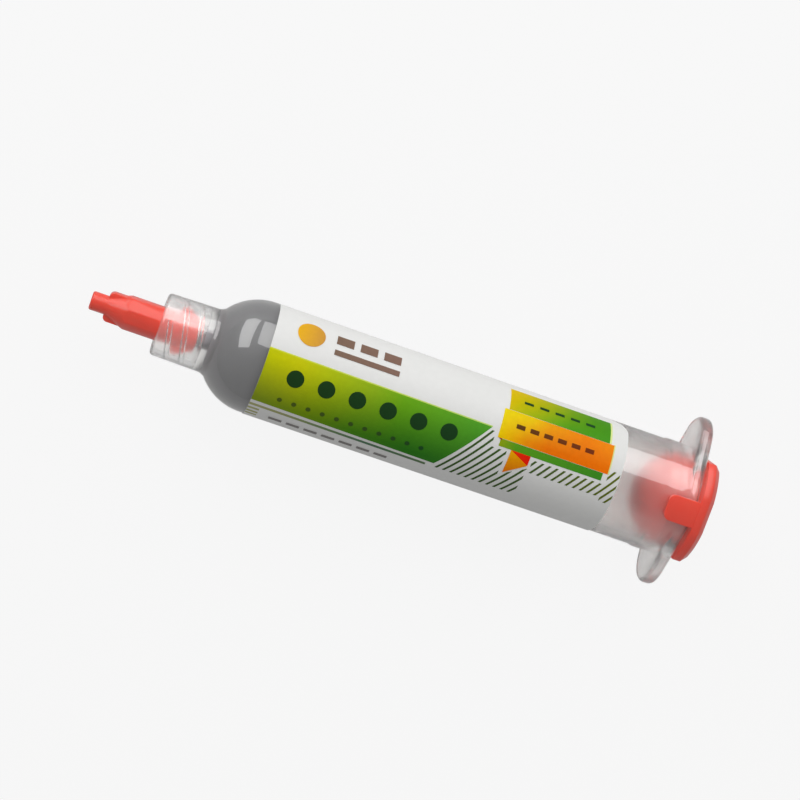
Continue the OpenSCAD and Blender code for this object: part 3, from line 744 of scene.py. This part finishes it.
def hatched(name, corners):
    """The slanting lines that lie inside one part of their region."""
    low, high = slant_x(HATCH_LOW) + HATCH_PITCH, slant_x(HATCH_HIGH) + HATCH_PITCH
    line = [(low, HATCH_LOW), (low + HATCH_W, HATCH_LOW), (high + HATCH_W, HATCH_HIGH),
            (high, HATCH_HIGH)]
    return trimmed(repeated(plan_field(name, line, INK_R), HATCH_COUNT, HATCH_PITCH), corners)


hatch = joined([hatched("hatch_print", corners) for corners in HATCH_PARTS])
bpy.ops.object.mode_set(mode="EDIT")
bpy.ops.mesh.select_all(action="SELECT")
bpy.ops.mesh.remove_doubles(threshold=MERGE_GAP)
bpy.ops.mesh.normals_make_consistent(inside=False)
finished(hatch, "hatch_print")
# Hatch ink: dark olive green, a little browner towards the rear
hatch_ink = ink("dark_olive_ink", [(31, "3E5C2A"), (46, "46602A"), (60, "64701E")])
printed(thickened(hatch, INK_T), hatch_ink, "print_hatch")
# Rule ink: pale olive at the nozzle end, turning to grey green
rule_ink = ink("olive_rule_ink", [(0.6, "B2B27E"), (6, "A6A876"), (12, "7C9364"), (20, "587C60"),
                                  (30.6, "627C56")])
rule = thickened(plan_field("rule_print", RULE, INK_R), INK_T)
printed(rule, rule_ink, "print_rules")
for number in range(STRIPE_COUNT):
    top = STRIPE_TOP + STRIPE_PITCH * number
    stripe = sheet("stripe_print_%d" % (number + 1), STRIPE_FRONT, STRIPE_REAR, top,
                   top + STRIPE_H, INK_R)
    printed(thickened(stripe, INK_T), rule_ink, "print_rules")

# Plain marks
# Plain rows printed over the fields and the white film: dark dots on the band, dashes on the
# tags, grey dashes near the lower edge, and an amber disc with brown bars at the upper left.
MARK_STEP = 1
CUTTER_DEPTH = 6


def dot_row(name, x, angle, size, count=1, pitch=0):
    """A row of round dots on the print: a slab of ink cut by a cylinder, then repeated."""
    spread = math.degrees(size / INK_R)
    slab = sheet(name, x - size, x + size, angle - spread, angle + spread, OVER_R, MARK_STEP)
    thickened(slab, INK_T)
    bpy.ops.object.select_all(action="DESELECT")
    a = math.radians(angle)
    bpy.ops.mesh.primitive_cylinder_add(
        vertices=48, radius=size / 2 * MM, depth=CUTTER_DEPTH * MM, rotation=(a, 0, 0),
        location=(at(x), -OVER_R * MM * math.sin(a), AXIS_Z + OVER_R * MM * math.cos(a)))
    return repeated(combined(slab, bpy.context.object, "INTERSECT"), count, pitch)


def dash_row(name, x, angle, length, height, count=1, pitch=0):
    """A row of equal dashes, the height given in degrees round the tube."""
    dash = sheet(name, x, x + length, angle, angle + height, OVER_R, MARK_STEP)
    return repeated(thickened(dash, INK_T), count, pitch)


# Mark inks: near-black green, a softer green for the small dots, brown black on the lower tag,
# brown and warm grey on the white film, and amber for the disc
dark_ink = ink("dark_mark_ink", [(0, "20401C"), (60, "1C4622")])
soft_ink = ink("soft_mark_ink", [(4, "56661E"), (30, "1E5426")])
brown_black_ink = ink("brown_black_ink", [(40, "5A3C0C"), (58, "7C300A")])
brown_ink = ink("brown_mark_ink", [(9, "7E6656"), (24, "86685C")])
grey_ink = ink("grey_mark_ink", [(3, "8E8A88"), (26, "8A8684")])
disc_ink = ink("amber_mark_ink", [(4, "EEB41C"), (9, "CE9440")])
marks = [
    (dot_row("large_dots", 6, 1.5, size=2.8, count=6, pitch=5.2), dark_ink),
    (dot_row("small_dots", 4.8, 27, size=0.8, count=11, pitch=2.4), soft_ink),
    (dash_row("upper_tag_dashes", 42.8, -57, length=1.6, height=3.4, count=5, pitch=2.7), dark_ink),
    (dash_row("lower_tag_dashes", 42.2, -28, length=1.5, height=4.6, count=6, pitch=2.4),
     brown_black_ink),
    (dash_row("grey_dashes", 4.4, 56, length=2.2, height=4.5, count=7, pitch=3.0), grey_ink),
    (dot_row("amber_disc", 6.4, -48, size=4.6), disc_ink),
    (dash_row("brown_bars", 10.6, -58, length=2.9, height=11, count=3, pitch=4.0), brown_ink),
    (dash_row("brown_rule", 10.6, -40, length=11.0, height=6), brown_ink)]
for row, finish in marks:
    printed(row, finish, "print_marks")
